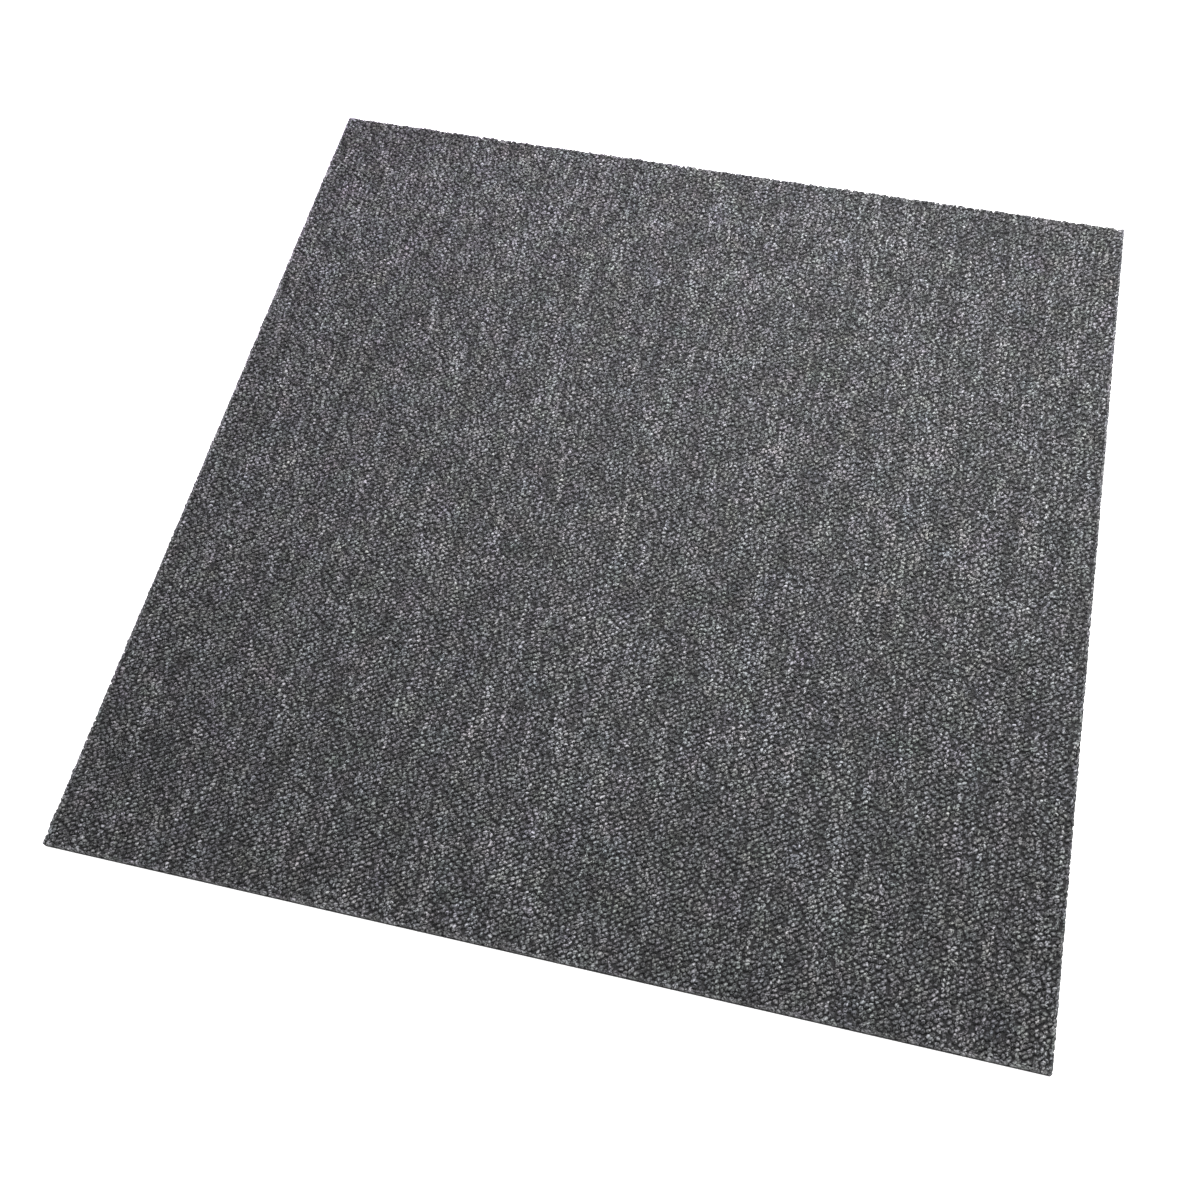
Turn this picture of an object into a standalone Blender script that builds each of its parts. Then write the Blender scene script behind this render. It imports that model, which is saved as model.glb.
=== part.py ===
# Carpet tile: one square of tufted loop-pile carpet with its heavy flexible backing,
# lying flat with the pile up. Metres, +Z up. The origin is the centre of the underside,
# and +Y runs along the tufting rows.

import bmesh
import bpy

# Driving dimensions of the whole tile
TILE_WIDTH = 0.500  # across the tufting rows, X
TILE_LENGTH = 0.500  # along the tufting rows, Y

# Backing: the filled bitumen slab that gives the tile its weight, die-cut square
BACKING_THICKNESS = 0.0027

# Tufted face: the loops and the thin cloth that they are stitched into, as one layer
BOND_CLEARANCE = 0.0003  # between the backing's top and the cloth's underside
FACE_THICKNESS = 0.0030
FACE_EDGE_ROUNDING = 0.0010  # the outermost loops lean over the cut
FACE_CORNER_RADIUS = 0.0018  # the loops at each corner close in
ROUNDING_SEGMENTS = 4

# Finishes: colour, roughness and metallic value
FACE_FINISH = ((0.095, 0.095, 0.098), 0.95, 0.0)
BACKING_FINISH = ((0.018, 0.018, 0.019), 0.72, 0.0)


def clear_scene():
    for old in list(bpy.data.objects):
        bpy.data.objects.remove(old, do_unlink=True)


def make_material(name, finish):
    colour, roughness, metallic = finish
    material = bpy.data.materials.new(name)
    material.use_nodes = True
    shader = material.node_tree.nodes["Principled BSDF"]
    shader.inputs["Base Color"].default_value = (*colour, 1.0)
    shader.inputs["Roughness"].default_value = roughness
    shader.inputs["Metallic"].default_value = metallic
    material.diffuse_color = (*colour, 1.0)
    return material


def flat_slab(thickness):
    # A square-cut slab of the tile's outline, centred over its own underside
    mesh = bmesh.new()
    bmesh.ops.create_cube(mesh, size=1.0)
    bmesh.ops.scale(mesh, vec=(TILE_WIDTH, TILE_LENGTH, thickness), verts=mesh.verts)
    bmesh.ops.translate(mesh, vec=(0.0, 0.0, thickness / 2), verts=mesh.verts)
    return mesh


def upright_edges(mesh):
    return [e for e in mesh.edges if abs(e.verts[0].co.z - e.verts[1].co.z) > 1e-6]


def top_outline_edges(mesh, top):
    return [e for e in mesh.edges if all(abs(v.co.z - top) < 1e-6 for v in e.verts)]


def round_over(mesh, edges, radius):
    bmesh.ops.bevel(
        mesh,
        geom=edges,
        offset=radius,
        offset_type="OFFSET",
        segments=ROUNDING_SEGMENTS,
        profile=0.5,
        affect="EDGES",
        material=-1,
    )


def place(name, mesh, underside, material):
    data = bpy.data.meshes.new(name)
    mesh.to_mesh(data)
    mesh.free()
    data.materials.append(material)
    piece = bpy.data.objects.new(name, data)
    piece.location = (0.0, 0.0, underside)
    bpy.context.scene.collection.objects.link(piece)
    return piece


def make_backing():
    mesh = flat_slab(BACKING_THICKNESS)
    return place("backing", mesh, 0.0, make_material("backing", BACKING_FINISH))


def make_pile_face():
    mesh = flat_slab(FACE_THICKNESS)
    round_over(mesh, upright_edges(mesh), FACE_CORNER_RADIUS)
    round_over(mesh, top_outline_edges(mesh, FACE_THICKNESS), FACE_EDGE_ROUNDING)
    underside = BACKING_THICKNESS + BOND_CLEARANCE
    face = place("pile_face", mesh, underside, make_material("pile_face", FACE_FINISH))
    face.data.shade_smooth()
    face.data.set_sharp_from_angle(angle=0.5)
    return face


clear_scene()
make_backing()
make_pile_face()
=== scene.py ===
import math

import bmesh
import bpy
import numpy as np
from mathutils import Matrix, Vector, noise


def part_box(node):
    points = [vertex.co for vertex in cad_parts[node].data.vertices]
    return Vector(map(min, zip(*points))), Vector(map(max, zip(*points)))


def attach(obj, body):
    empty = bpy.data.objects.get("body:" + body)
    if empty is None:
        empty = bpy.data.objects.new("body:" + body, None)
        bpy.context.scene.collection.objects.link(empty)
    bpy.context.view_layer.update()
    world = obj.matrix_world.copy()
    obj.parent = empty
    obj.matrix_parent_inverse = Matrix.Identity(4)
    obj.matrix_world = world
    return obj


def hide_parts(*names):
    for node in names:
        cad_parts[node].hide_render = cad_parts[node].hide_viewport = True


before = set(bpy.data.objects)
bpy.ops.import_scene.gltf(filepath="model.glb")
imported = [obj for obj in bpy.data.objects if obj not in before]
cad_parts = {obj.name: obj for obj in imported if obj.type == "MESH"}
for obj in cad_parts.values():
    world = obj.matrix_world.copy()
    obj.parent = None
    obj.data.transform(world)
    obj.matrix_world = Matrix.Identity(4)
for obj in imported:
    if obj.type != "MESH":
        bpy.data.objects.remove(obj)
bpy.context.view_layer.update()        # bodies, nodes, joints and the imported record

faceLow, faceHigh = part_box("pile_face")
backingLow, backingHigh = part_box("backing")
draw = np.random.default_rng(5264)  # every scatter below comes from this one seed


# Node maths as expressions, for shaders and for geometry nodes alike
class Wire:
    def __init__(self, tree, socket=None):
        self.tree = tree
        self.socket = socket

    def node(self, kind, settings=None, values=None, output=0):
        made = self.tree.nodes.new(kind)
        for name, setting in (settings or {}).items():
            setattr(made, name, setting)
        for name, value in (values or {}).items():
            if isinstance(value, Wire):
                self.tree.links.new(value.socket, made.inputs[name])
            else:
                made.inputs[name].default_value = value
        return Wire(self.tree, made.outputs[output])

    def maths(self, operation, first, second=0.0):
        return self.node("ShaderNodeMath", {"operation": operation}, {0: first, 1: second})

    def __add__(self, other):
        return self.maths("ADD", self, other)

    def __mul__(self, other):
        return self.maths("MULTIPLY", self, other)

    def __rsub__(self, other):
        return self.maths("SUBTRACT", other, self)

    def __abs__(self):
        return self.maths("ABSOLUTE", self)

    __radd__ = __add__
    __rmul__ = __mul__

    def sine(self):
        return self.maths("SINE", self)

    def vector(self, operation, first, second, output=0):
        return self.node("ShaderNodeVectorMath", {"operation": operation}, {0: first, 1: second}, output)

    def dot(self, direction):
        return self.vector("DOT_PRODUCT", self, direction, "Value")

    def attribute(self, name, output):
        return self.node("ShaderNodeAttribute", {"attribute_name": name}, output=output)

    def noise(self, place, size, detail=2.0, roughness=0.5):
        return self.node("ShaderNodeTexNoise", {"noise_dimensions": "3D"}, {
            "Vector": place, "Scale": 1.0 / size, "Detail": detail, "Roughness": roughness})

    def blend(self, factor, dark, light):
        return self.node("ShaderNodeMix", {"data_type": "RGBA"}, {
            "Factor": factor, "A": dark, "B": light}, output="Result")


def newMaterial(name, roughness, specular):
    material = bpy.data.materials.new(name)
    material.use_nodes = True
    shader = material.node_tree.nodes["Principled BSDF"]
    shader.inputs["Roughness"].default_value = roughness
    shader.inputs["Specular IOR Level"].default_value = specular
    return material, shader, Wire(material.node_tree)


def feed(wire, shader, socketName):
    wire.tree.links.new(wire.socket, shader.inputs[socketName])


def feedBump(height, shader, strength, depth):
    bump = height.node("ShaderNodeBump", {}, {"Strength": strength, "Distance": depth, "Height": height})
    feed(bump, shader, "Normal")


# Yarn
yarn = {
    "light": (0.1850, 0.1893, 0.1940, 1.0),
    "dark": (0.0210, 0.0215, 0.0221, 1.0),
    "tuft": (0.0010, 1.4),  # width of a stretch of like filaments, and that over its length
    "tuftContrast": 2.0,  # past 1, some of the stretches are all dark or all light
    "fibre": (0.00022, 0.2),  # the same two for one bundle of fibres
    "fibreShare": 0.15,
    "plyPitch": 0.0016,  # between the grooves of the twisted plies
    "plyTwist": math.radians(-30),  # of the plies, from the loop's own length
    "paintedGrooveShade": 0.16,  # share of its colour that the yarn keeps in a groove: painted shade between the twisted plies
    "paintedRootShade": 0.25,  # and that a loop keeps at its root: painted shade where the loops shadow their own roots
    "roughness": 0.62,
    "specular": 0.16,
    "sheen": 0.1,
    "bump": 0.6,
    "bumpDepth": 0.0004,
    "bumpOfFibres": 0.4,  # share of the relief that is fibres, where the rest is grooves
}

# Loops
loops = {
    "gauge": 0.0254 * 5 / 64,  # between rows, the 5/64 inch needle spacing
    "stitch": 0.00267,  # between loops in a row
    "firstStitch": 0.25,  # from the cut to the first loop, in stitches
    "slant": math.radians(58),  # the loops lie turned from X towards Y
    "length": 0.0031,
    "width": 0.00210,
    "root": (4, 0.75, 0.0, math.radians(45)),  # corners, reach, height and turn, in a loop of size 1
    "girth": (6, 1.0, 0.68, 0.0),
    "ridge": 0.40,  # half the length of the ridge on top
    "droop": 0.12,  # how much lower the girth is at its two ends
    "unfolded": (1.0, 0.68, 0.3),  # root, girth and ridge from the middle, with the loop laid out flat
    "topInCell": (0.5, 0.46),  # middle and reach of a loop's upper faces, in its cell of the texture
    "underInCell": (0.07, 0.05),  # and of its underside
    "rise": 0.0004,  # loops start this far above the underside of the tufted face
    "headroom": 0.001,  # that the highest loops have above the CAD face
    "bands": 6,  # pieces that the rows are shared out to
    "turnSpread": (math.radians(14), math.radians(34)),  # at the neat corner, and away from it
    "leanSpread": math.radians(8),
    "sizeSpread": 0.08,
    "heightSpread": 0.05,
    "heightBelow": 1.2,  # how many spreads the middle height lies below the CAD face
    "spreadLimit": 2.2,  # no loop strays by more spreads than this
    "secondRowHeight": 0.05,  # every second row is this much higher
    "ridges": math.radians(34),  # the loops string together in ridges that run this way
    "along": 0.00050,  # how far a loop strays along its ridge
    "across": 0.00042,  # and across it, where the loops are least neat
    "neatest": 0.2,  # share of the straying across the ridge that is left at the neat corner
    "untidy": (0.75, 0.45),  # how fast the loops get less neat to the right and to the back
    "cutInset": 0.0007,  # no loop's middle is nearer to the cut than this
    "cutSag": 0.08,  # how much lower the loops are at the cut
    "lump": 0.0008,  # reach of the unevenness that is pushed into all loops
    "lumpSize": 0.0012,
}

# Heather: how the yarn's shade and hue stray from loop to loop, with painted light on every second row
heather = {
    "single": 0.05,  # of each loop by itself
    # Strength of each stray, and its reach along a row in stitches and across in rows
    "strays": ((0.20, 0.8, 0.25), (0.19, 1.8, 0.4), (0.13, 4.5, 0.5), (0.03, 60.0, 0.0)),
    "limit": 0.6,  # of all strays together
    "everySecondRow": 0.28,  # how much lighter every second row is painted, for the light that its higher loops catch
    "redTint": 0.020,
    "blueTint": 0.024,
    "hueReach": (1.1, 1.5),
}


def yarnMaterial():
    material, shader, start = newMaterial("heather_yarn", yarn["roughness"], yarn["specular"])
    place = start.attribute("loopPlace", "Vector")
    half = (loops["length"] / 2, loops["width"] / 2, faceHigh.z - faceLow.z)
    phase = start.attribute("phase", "Vector")  # sets each loop's pattern apart from its neighbour's
    strand = start.vector("ADD", start.vector("MULTIPLY", place, half), phase)
    twist = yarn["plyTwist"]
    run = strand.dot((math.cos(twist), math.sin(twist), 0))
    over = strand.dot((math.sin(twist), -math.cos(twist), 0))

    def stretched(width, stretch):
        return start.node("ShaderNodeCombineXYZ", {}, {
            "X": run * (stretch / width), "Y": over * (1 / width), "Z": strand.dot((0, 0, 1 / width))})

    tufts = start.node("ShaderNodeTexVoronoi", {}, {
        "Vector": stretched(*yarn["tuft"]), "Scale": 1.0}, output="Color")
    fibres = start.noise(stretched(*yarn["fibre"]), 1.0, 1.0)
    groove = abs((over * (math.pi / yarn["plyPitch"])).sine())
    centring = (1 - yarn["tuftContrast"] - yarn["fibreShare"]) / 2  # keeps the mix even
    mixed = tufts.dot((yarn["tuftContrast"], 0, 0)) + fibres * yarn["fibreShare"] + centring
    colour = start.blend(mixed, yarn["dark"], yarn["light"])
    # Painted shade: the yarn is darkened in the grooves between its plies
    paintedGrooveShading = groove * (1 - yarn["paintedGrooveShade"]) + yarn["paintedGrooveShade"]
    # Painted shade: the yarn is darkened towards each loop's root
    paintedRootShading = place.dot((0, 0, 1)) * (1 - yarn["paintedRootShade"]) + yarn["paintedRootShade"]
    toned = start.vector("MULTIPLY", colour, start.attribute("tone", "Color"))
    shaded = start.node("ShaderNodeVectorMath", {"operation": "SCALE"}, {
        "Vector": toned, "Scale": paintedGrooveShading * paintedRootShading})
    feed(shaded, shader, "Base Color")
    relief = fibres * yarn["bumpOfFibres"] + groove * (1 - yarn["bumpOfFibres"])
    feedBump(relief, shader, yarn["bump"], yarn["bumpDepth"])
    shader.inputs["Sheen Weight"].default_value = yarn["sheen"]
    return material


def pointAttribute(mesh, name, values, kind="FLOAT_VECTOR", field="vector"):
    made = mesh.attributes.new(name, kind, "POINT")
    made.data.foreach_set(field, values.astype(np.float32).ravel())


def dress(name, mesh):
    # Every part of the tufted face rides with the tile, and the CAD pile face is hidden
    piece = bpy.data.objects.new(name, mesh)
    bpy.context.scene.collection.objects.link(piece)
    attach(piece, "root")
    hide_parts("pile_face")


def loopTemplate(material):
    # One loop seen from above is a short plump grain: a narrow root, a wide girth and a ridge
    form = bmesh.new()
    uv = form.loops.layers.uv.new("OFBake")
    rings = []
    for corners, reach, height, turn in (loops["root"], loops["girth"]):
        turned = Matrix.Rotation(turn, 4, "Z")
        ring = bmesh.ops.create_circle(form, segments=corners, radius=reach, matrix=turned)["verts"]
        bmesh.ops.translate(form, vec=(0.0, 0.0, height), verts=ring)
        rings.append(ring)
    rings.append([form.verts.new((side * loops["ridge"], 0.0, 1.0)) for side in (-1, 1)])
    unfolded = {vertex: reach * vertex.co.xy.normalized()
                for ring, reach in zip(rings, loops["unfolded"]) for vertex in ring}
    bmesh.ops.convex_hull(form, input=form.verts)
    bmesh.ops.recalc_face_normals(form, faces=form.faces)
    for face in form.faces:
        face.smooth = True
        facesDown = face.normal.z < -0.9
        middle, reach = loops["underInCell"] if facesDown else loops["topInCell"]
        for corner in face.loops:
            corner[uv].uv = Vector((middle, middle)) + reach * unfolded[corner.vert]
    for vertex in rings[1]:
        vertex.co.z -= loops["droop"] * vertex.co.x ** 2
    mesh = bpy.data.meshes.new("loop_template")
    form.to_mesh(mesh)
    form.free()
    pointAttribute(mesh, "loopPlace", np.array([vertex.co for vertex in mesh.vertices]))
    mesh.materials.append(material)
    template = bpy.data.objects.new("loop_template", mesh)
    bpy.context.scene.collection.objects.link(template)
    print("shaped a loop of", len(mesh.polygons), "faces")
    return template


def tuftingNodes(template, cellSide):
    # Puts a loop on every point, with the point's own size, turn and cell of the texture
    tree = bpy.data.node_groups.new("tufting", "GeometryNodeTree")
    tree.interface.new_socket("Geometry", in_out="INPUT", socket_type="NodeSocketGeometry")
    tree.interface.new_socket("Geometry", in_out="OUTPUT", socket_type="NodeSocketGeometry")
    start = Wire(tree)

    def stored(name):
        return start.node("GeometryNodeInputNamedAttribute", {"data_type": "FLOAT_VECTOR"}, {"Name": name})

    oneLoop = start.node("GeometryNodeObjectInfo", {}, {"Object": template}, output="Geometry")
    turn = start.node("FunctionNodeEulerToRotation", {}, {"Euler": stored("turn")})
    placed = start.node("GeometryNodeInstanceOnPoints", {}, {
        "Points": start.node("NodeGroupInput"), "Instance": oneLoop,
        "Rotation": turn, "Scale": stored("bulk")})
    real = start.node("GeometryNodeRealizeInstances", {}, {"Geometry": placed})
    position = start.node("GeometryNodeInputPosition")
    # A little unevenness softens all, and the die cut squares the tile off
    low = (faceLow.x, faceLow.y, faceLow.z)
    high = (faceHigh.x, faceHigh.y, faceHigh.z + loops["headroom"])
    cloud = start.node("ShaderNodeTexNoise", {"noise_dimensions": "3D"}, {
        "Vector": position, "Scale": 1.0 / loops["lumpSize"], "Detail": 0.0}, output="Color")
    middleOfNoise = (0.5, 0.5, 0.5)
    push = start.vector("MULTIPLY", start.vector("SUBTRACT", cloud, middleOfNoise), (loops["lump"],) * 3)
    cut = start.vector("MAXIMUM", start.vector("MINIMUM", start.vector("ADD", position, push), high), low)
    shaped = start.node("GeometryNodeSetPosition", {}, {"Geometry": real, "Position": cut})
    inCell = start.vector("MULTIPLY", stored("OFBake"), (cellSide, cellSide, 0.0))
    mapped = start.node("GeometryNodeStoreNamedAttribute", {"data_type": "FLOAT2", "domain": "CORNER"}, {
        "Geometry": shaped, "Name": "OFBake", "Value": start.vector("ADD", inCell, stored("cell"))})
    end = tree.nodes.new("NodeGroupOutput")
    tree.links.new(mapped.socket, end.inputs[0])
    return tree


def jitter(shape):
    # One stray for each loop, in spreads
    return draw.standard_normal(shape).clip(-loops["spreadLimit"], loops["spreadLimit"])


def drift(shape, along, across):
    # Strays of unit spread, smoothed so many stitches along a row and rows across
    rowWave, stitchWave = np.meshgrid(*[np.fft.fftfreq(count) for count in shape], indexing="ij")
    kept = np.exp(-2 * math.pi ** 2 * ((rowWave * across) ** 2 + (stitchWave * along) ** 2))
    field = np.fft.ifft2(np.fft.fft2(draw.standard_normal(shape)) * kept).real
    return field / field.std()


def standLoops():
    # Place, size and turn of each loop, in arrays of rows by stitches, and the band that it belongs to
    width, length = faceHigh.x - faceLow.x, faceHigh.y - faceLow.y
    rows = round(width / loops["gauge"])
    stitches = round(length / loops["stitch"])
    gauge, stitch = width / rows, length / stitches
    # One row and one stitch more on each side close the gaps along the cut
    row, number = np.meshgrid(np.arange(-1, rows + 1), np.arange(-1, stitches + 1), indexing="ij")
    shape = row.shape
    secondRow = row % 2
    x = gauge * (row + 0.5)
    y = stitch * (number + loops["firstStitch"] + 0.5 * secondRow)
    inReach = (y > -stitch / 2) & (y < length + stitch / 2)
    besideRowCut = (row < 1) | (row > rows - 2)
    besideEndCut = np.minimum(y, length - y) < stitch / 2
    toRight, toBack = loops["untidy"]
    untidy = (toRight * x / width + toBack * y / length).clip(0, 1)
    neatTurn, untidyTurn = loops["turnSpread"]
    turnSpread = neatTurn + (untidyTurn - neatTurn) * untidy
    along = loops["along"] * jitter(shape)
    across = loops["across"] * jitter(shape) * (loops["neatest"] + (1 - loops["neatest"]) * untidy)
    ridges = loops["ridges"]
    x += along * math.cos(ridges) - across * math.sin(ridges)
    y += along * math.sin(ridges) + across * math.cos(ridges)
    x = x.clip(loops["cutInset"], width - loops["cutInset"])
    y = y.clip(loops["cutInset"], length - loops["cutInset"])
    inside = np.minimum(np.minimum(x, width - x), np.minimum(y, length - y))
    sag = loops["cutSag"] * np.exp(-inside / gauge)
    # The loops beside the cut lie along it
    slant = np.where(besideEndCut, 0.0, loops["slant"] + turnSpread * jitter(shape))
    slant = np.where(besideRowCut, math.pi / 2, slant)
    z = np.full(shape, faceLow.z + loops["rise"])
    height = (faceHigh.z - z) * (1 + loops["heightSpread"] * (jitter(shape) - loops["heightBelow"])
                                + loops["secondRowHeight"] * (secondRow - 0.5) - sag)
    halfLength = loops["length"] / 2 * (1 + loops["sizeSpread"] * jitter(shape))
    halfWidth = loops["width"] / 2 * (1 + loops["sizeSpread"] * jitter(shape))
    lean = [loops["leanSpread"] * jitter(shape) for axis in "XY"]
    band = np.where(inReach, row.clip(0, rows - 1) * loops["bands"] // rows, -1)
    return secondRow, band, {
        "centre": np.stack([faceLow.x + x, faceLow.y + y, z], -1),
        "bulk": np.stack([halfLength, halfWidth, height], -1),
        "turn": np.stack([*lean, slant], -1),
    }


def heatherToneAndRowLight(secondRow):
    # What each loop's yarn colour is multiplied by
    shape = secondRow.shape
    # Each loop's own stray, and the painted light of every second row
    shade = heather["single"] * jitter(shape) + heather["everySecondRow"] * (secondRow - 0.5)
    for strength, alongReach, acrossReach in heather["strays"]:
        shade = shade + strength * drift(shape, alongReach, acrossReach)
    shade = shade.clip(-heather["limit"], heather["limit"])
    violet, red, blue = [drift(shape, *heather["hueReach"]) for hue in range(3)]
    tint = np.ones((*shape, 4))
    tint[..., 0] += heather["redTint"] * (violet + red)
    tint[..., 2] += heather["blueTint"] * (violet + blue)
    return np.exp(shade)[..., None] * tint


def tuftBand(name, tree, cells, stitches):
    count = len(stitches["centre"])
    order = np.arange(count)
    mesh = bpy.data.meshes.new("stitches")
    mesh.vertices.add(count)
    mesh.vertices.foreach_set("co", stitches["centre"].astype(np.float32).ravel())
    for attribute in ("bulk", "turn", "phase"):
        pointAttribute(mesh, attribute, stitches[attribute])
    pointAttribute(mesh, "cell", np.stack([order % cells, order // cells, 0 * order], -1) / cells)
    pointAttribute(mesh, "tone", stitches["tone"], "FLOAT_COLOR", "color")
    holder = bpy.data.objects.new("stitches", mesh)
    bpy.context.scene.collection.objects.link(holder)
    holder.modifiers.new("tufting", "NODES").node_group = tree
    depsgraph = bpy.context.evaluated_depsgraph_get()
    finished = bpy.data.meshes.new_from_object(holder.evaluated_get(depsgraph))
    for attribute in ("bulk", "turn", "cell"):
        if attribute in finished.attributes:
            finished.attributes.remove(finished.attributes[attribute])
    bpy.data.objects.remove(holder, do_unlink=True)
    dress(name, finished)
    print("tufted", name, "with", count, "loops")


def tuftPile(material):
    secondRow, band, stitches = standLoops()
    stitches["tone"] = heatherToneAndRowLight(secondRow)
    stitches["phase"] = draw.random((*secondRow.shape, 3))
    largest = np.bincount(band[band >= 0]).max()
    cells = math.ceil(math.sqrt(largest))  # along each side of a band's texture
    template = loopTemplate(material)
    tree = tuftingNodes(template, 1.0 / cells)
    for one in range(loops["bands"]):
        chosen = {name: values[band == one] for name, values in stitches.items()}
        tuftBand(f"pile_rows_{one + 1}", tree, cells, chosen)
    bpy.data.objects.remove(template, do_unlink=True)


# Primary cloth: the thin weave that the loops are stitched into, with its coat of glue below. Its colour
# carries painted shade: dark for the gaps between the loops, and darker in the grooves between its tapes
cloth = {
    "top": 0.0013,  # above the tufted face's underside
    "inset": 0.0006,
    "cuts": 79,
    "sag": 0.00012,  # between the highest and the lowest places of its top
    "sagReach": 0.012,
    "tapePitch": (0.0011, 0.0018),  # between the woven tapes, along X and along Y
    # Painted shade: both tape colours are kept dark for the shadowed gaps between the loops
    "tapeDark": (0.008, 0.008, 0.0084, 1.0),
    "tapeLight": (0.032, 0.032, 0.033, 1.0),
    "fray": 0.0006,
    "frayShare": 0.4,  # of the shade, where the rest is the weave with the painted shade of its grooves
    "roughness": 0.85,
    "specular": 0.1,
    "bump": 0.7,
    "bumpDepth": 0.0002,
}


def ribs(place, axis, pitch):
    # Round ribs across an axis, 0 in the grooves and 1 on top
    return abs((place.dot(axis) * (math.pi / pitch)).sine())


def clothMaterial():
    material, shader, start = newMaterial("primary_cloth", cloth["roughness"], cloth["specular"])
    place = start.node("ShaderNodeTexCoord", output="Object")
    alongX, alongY = cloth["tapePitch"]
    warp = ribs(place, (1, 0, 0), alongX)
    weft = ribs(place, (0, 1, 0), alongY)
    under = start.node("ShaderNodeTexChecker", {}, {
        "Vector": start.vector("DIVIDE", place, (alongX, alongY, 1.0)), "Scale": 1.0}, output="Fac")
    weaveAndGrooveShade = under * warp + (1 - under) * weft
    frays = start.noise(place, cloth["fray"])
    # The grooves between the tapes are darkened: painted shade
    shade = weaveAndGrooveShade * (1 - cloth["frayShare"]) + frays * cloth["frayShare"]
    feed(start.blend(shade, cloth["tapeDark"], cloth["tapeLight"]), shader, "Base Color")
    feedBump(weaveAndGrooveShade, shader, cloth["bump"], cloth["bumpDepth"])
    return material


def layCloth():
    form = bmesh.new()
    bmesh.ops.create_cube(form, size=1.0)
    low = Vector((faceLow.x + cloth["inset"], faceLow.y + cloth["inset"], backingHigh.z))
    high = Vector((faceHigh.x - cloth["inset"], faceHigh.y - cloth["inset"], faceLow.z + cloth["top"]))
    bmesh.ops.scale(form, vec=high - low, verts=form.verts)
    bmesh.ops.translate(form, vec=(low + high) / 2, verts=form.verts)
    middle = (low.z + high.z) / 2
    topEdges = [edge for edge in form.edges if all(vertex.co.z > middle for vertex in edge.verts)]
    bmesh.ops.subdivide_edges(form, edges=topEdges, cuts=cloth["cuts"], use_grid_fill=True)
    for vertex in form.verts:
        if vertex.co.z > middle:
            vertex.co.z += cloth["sag"] / 2 * (noise.noise(vertex.co / cloth["sagReach"]) - 1.0)
    mesh = bpy.data.meshes.new("primary_cloth")
    form.to_mesh(mesh)
    form.free()
    mesh.materials.append(clothMaterial())
    dress("primary_cloth", mesh)
    print("laid the primary cloth with", len(mesh.polygons), "faces")


# Backing: filled bitumen, moulded flat below and sheared at its sides
slab = {
    "dark": (0.010, 0.010, 0.011, 1.0),
    "light": (0.034, 0.034, 0.035, 1.0),
    "roughness": 0.7,
    "roughnessSpread": 0.25,  # from the smoothest to the roughest grain
    "roughnessDrop": 0.12,  # of the smoothest grain
    "specular": 0.08,
    "grain": 0.0011,
    "grainDetail": (4.0, 0.6),
    "grainShare": 0.5,  # of the colour and of the flat faces' relief
    "scrimPitch": 0.0016,  # the print of a fine scrim in the underside
    "shearWidth": 0.0009,  # of the marks that the die leaves down the sides
    "shearStretch": 0.15,  # their width over their length
    "shearDetail": 3.0,
    "bump": 0.6,
    "bumpDepth": 0.00025,
}


def backingMaterial():
    material, shader, start = newMaterial("bitumen_backing", slab["roughness"], slab["specular"])
    place = start.node("ShaderNodeTexCoord", output="Object")
    normal = start.node("ShaderNodeNewGeometry", output="Normal")
    flat = abs(normal.dot((0, 0, 1)))
    grain = start.noise(place, slab["grain"], *slab["grainDetail"])
    scrim = ribs(place, (1, 0, 0), slab["scrimPitch"]) * ribs(place, (0, 1, 0), slab["scrimPitch"])
    downTheSides = start.vector("MULTIPLY", place, (1.0, 1.0, slab["shearStretch"]))
    shear = start.noise(downTheSides, slab["shearWidth"], slab["shearDetail"])
    share = slab["grainShare"]
    relief = flat * (scrim * (1 - share) + grain * share) + (1 - flat) * shear
    # The relief also darkens the colour in the hollows of the scrim print and the die's marks: painted
    # shade
    shade = grain * share + relief * (1 - share)
    feed(start.blend(shade, slab["dark"], slab["light"]), shader, "Base Color")
    feed(grain * slab["roughnessSpread"] + (slab["roughness"] - slab["roughnessDrop"]), shader, "Roughness")
    feedBump(relief, shader, slab["bump"], slab["bumpDepth"])
    return material


def finishBacking():
    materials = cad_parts["backing"].data.materials
    materials.clear()
    materials.append(backingMaterial())
    print("finished the backing")


# Camera
camera = {
    "target": (0.0046, -0.0581, 0.0060),
    "distance": 0.7046,
    "azimuth": math.radians(17.76),
    "elevation": math.radians(64.30),
    "roll": math.radians(-5.32),
    "lens": 39.34,
    "sensor": 36.0,
    "shift": -20 / 1200,
    "reach": (0.01, 50.0),  # nothing nearer or farther is drawn
}


def facing(direction):
    # The turn that points a camera or a lamp that way
    return direction.to_track_quat("-Z", "Y")


def placeCamera():
    data = bpy.data.cameras.new("camera")
    data.lens = camera["lens"]
    data.sensor_width = camera["sensor"]
    data.shift_x = camera["shift"]
    data.clip_start, data.clip_end = camera["reach"]
    eye = bpy.data.objects.new("camera", data)
    bpy.context.scene.collection.objects.link(eye)
    level = math.cos(camera["elevation"])
    back = Vector((math.sin(camera["azimuth"]) * level, -math.cos(camera["azimuth"]) * level,
                   math.sin(camera["elevation"])))
    roll = Matrix.Rotation(camera["roll"], 3, "Z").to_quaternion()
    eye.location = Vector(camera["target"]) + camera["distance"] * back
    eye.rotation_mode = "QUATERNION"
    eye.rotation_quaternion = facing(-back) @ roll
    bpy.context.scene.camera = eye
    print("placed the camera")


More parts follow.
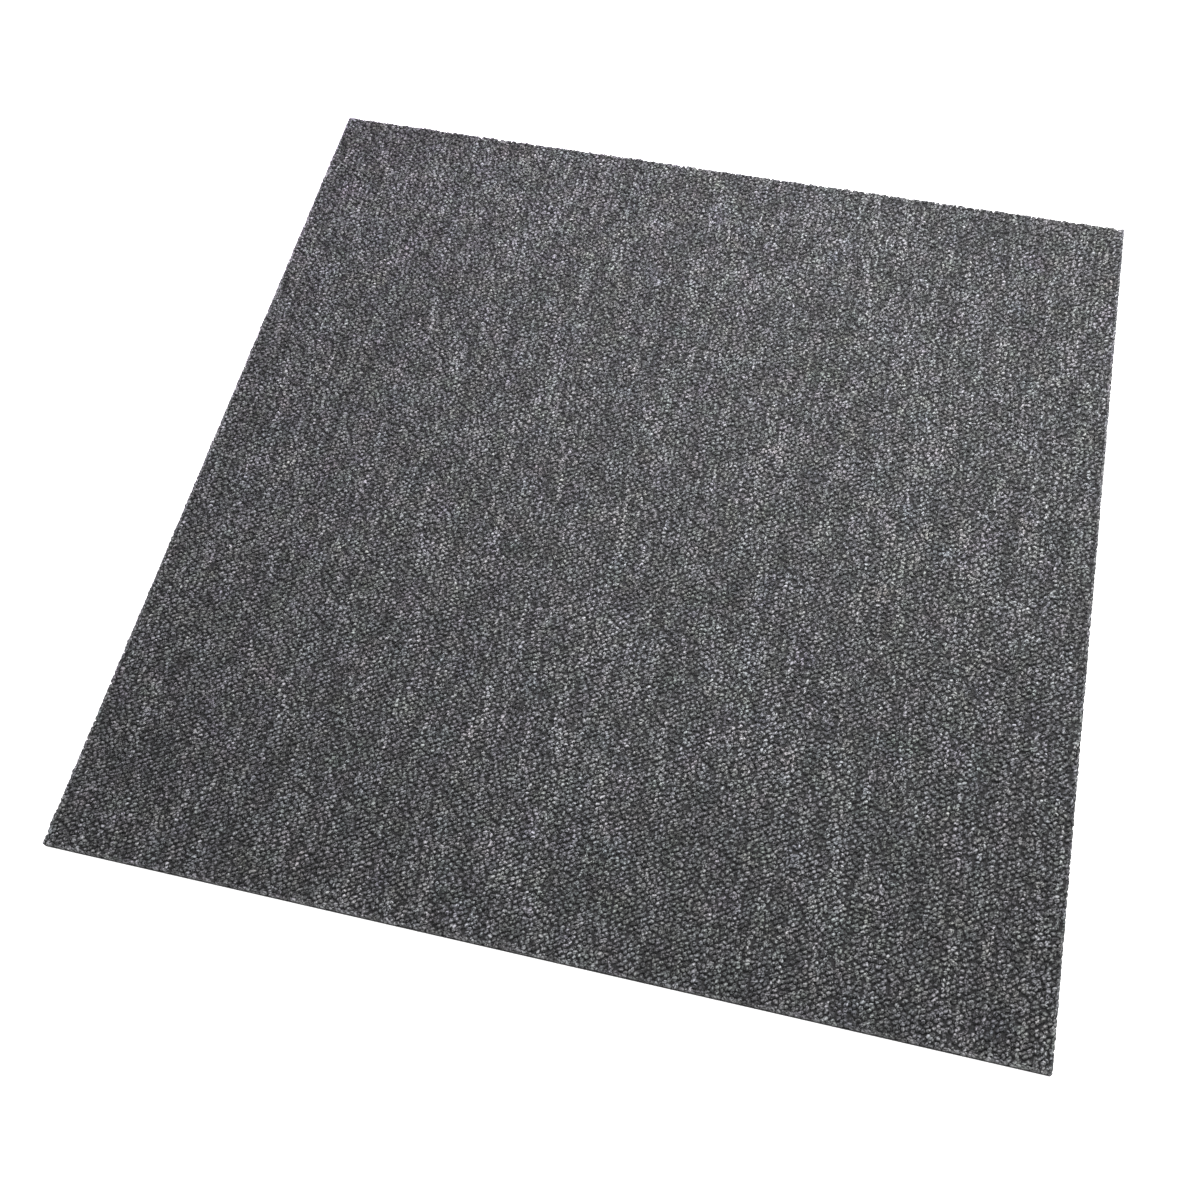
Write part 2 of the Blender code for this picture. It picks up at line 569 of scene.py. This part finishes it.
# Studio: a white table, an even sky, two soft boxes and a faint violet glow at the tile's far left
studio = {
    "floorSide": 14.0,
    "floorGap": 0.0001,  # below the tile, so that the two faces stay apart
    "floorColour": (0.9, 0.9, 0.9, 1.0),
    "floorRoughness": 0.9,
    "floorSpecular": 0.1,
    "floorGlow": 0.6,
    "skyStrength": 1.03,
    "white": (1.0, 1.0, 1.0, 1.0),
}

# Each lamp's watts, side, place, the point that it faces, and its colour
lamps = {
    "nearBox": (3.8, 0.5, (0.10, 0.12, 0.36), (0.05, 0.10, 0.0), (1.0, 1.0, 1.0)),
    "farBox": (5.5, 0.5, (0.35, 0.45, 0.75), (0.05, 0.05, 0.0), (1.0, 1.0, 1.0)),
    "violetGlow": (0.80, 0.3, (-0.32, 0.42, 0.40), (-0.20, 0.20, 0.0), (0.70, 0.1, 1.0)),
}


def hangLamp(name, power, side, place, target, colour):
    data = bpy.data.lights.new(name, "AREA")
    data.energy = power
    data.size = side
    data.color = colour
    lamp = bpy.data.objects.new(name, data)
    bpy.context.scene.collection.objects.link(lamp)
    lamp.location = place
    lamp.rotation_mode = "QUATERNION"
    lamp.rotation_quaternion = facing(Vector(target) - Vector(place))
    lamp.visible_camera = False


def layFloor():
    form = bmesh.new()
    bmesh.ops.create_grid(form, x_segments=1, y_segments=1, size=studio["floorSide"] / 2)
    bmesh.ops.translate(form, vec=(0.0, 0.0, backingLow.z - studio["floorGap"]), verts=form.verts)
    mesh = bpy.data.meshes.new("floor")
    form.to_mesh(mesh)
    form.free()
    material, shader = newMaterial("floor", studio["floorRoughness"], studio["floorSpecular"])[:2]
    shader.inputs["Base Color"].default_value = studio["floorColour"]
    shader.inputs["Emission Color"].default_value = studio["white"]
    shader.inputs["Emission Strength"].default_value = studio["floorGlow"]
    mesh.materials.append(material)
    floor = bpy.data.objects.new("floor", mesh)
    bpy.context.scene.collection.objects.link(floor)


def setStudio():
    layFloor()
    world = bpy.data.worlds.new("studio")
    world.use_nodes = True
    sky = world.node_tree.nodes["Background"]
    sky.inputs["Color"].default_value = studio["white"]
    sky.inputs["Strength"].default_value = studio["skyStrength"]
    bpy.context.scene.world = world
    for name, lamp in lamps.items():
        hangLamp(name, *lamp)
    bpy.context.scene.view_settings.view_transform = "Standard"
    print("set the studio")


placeCamera()
tuftPile(yarnMaterial())
layCloth()
finishBacking()
setStudio()
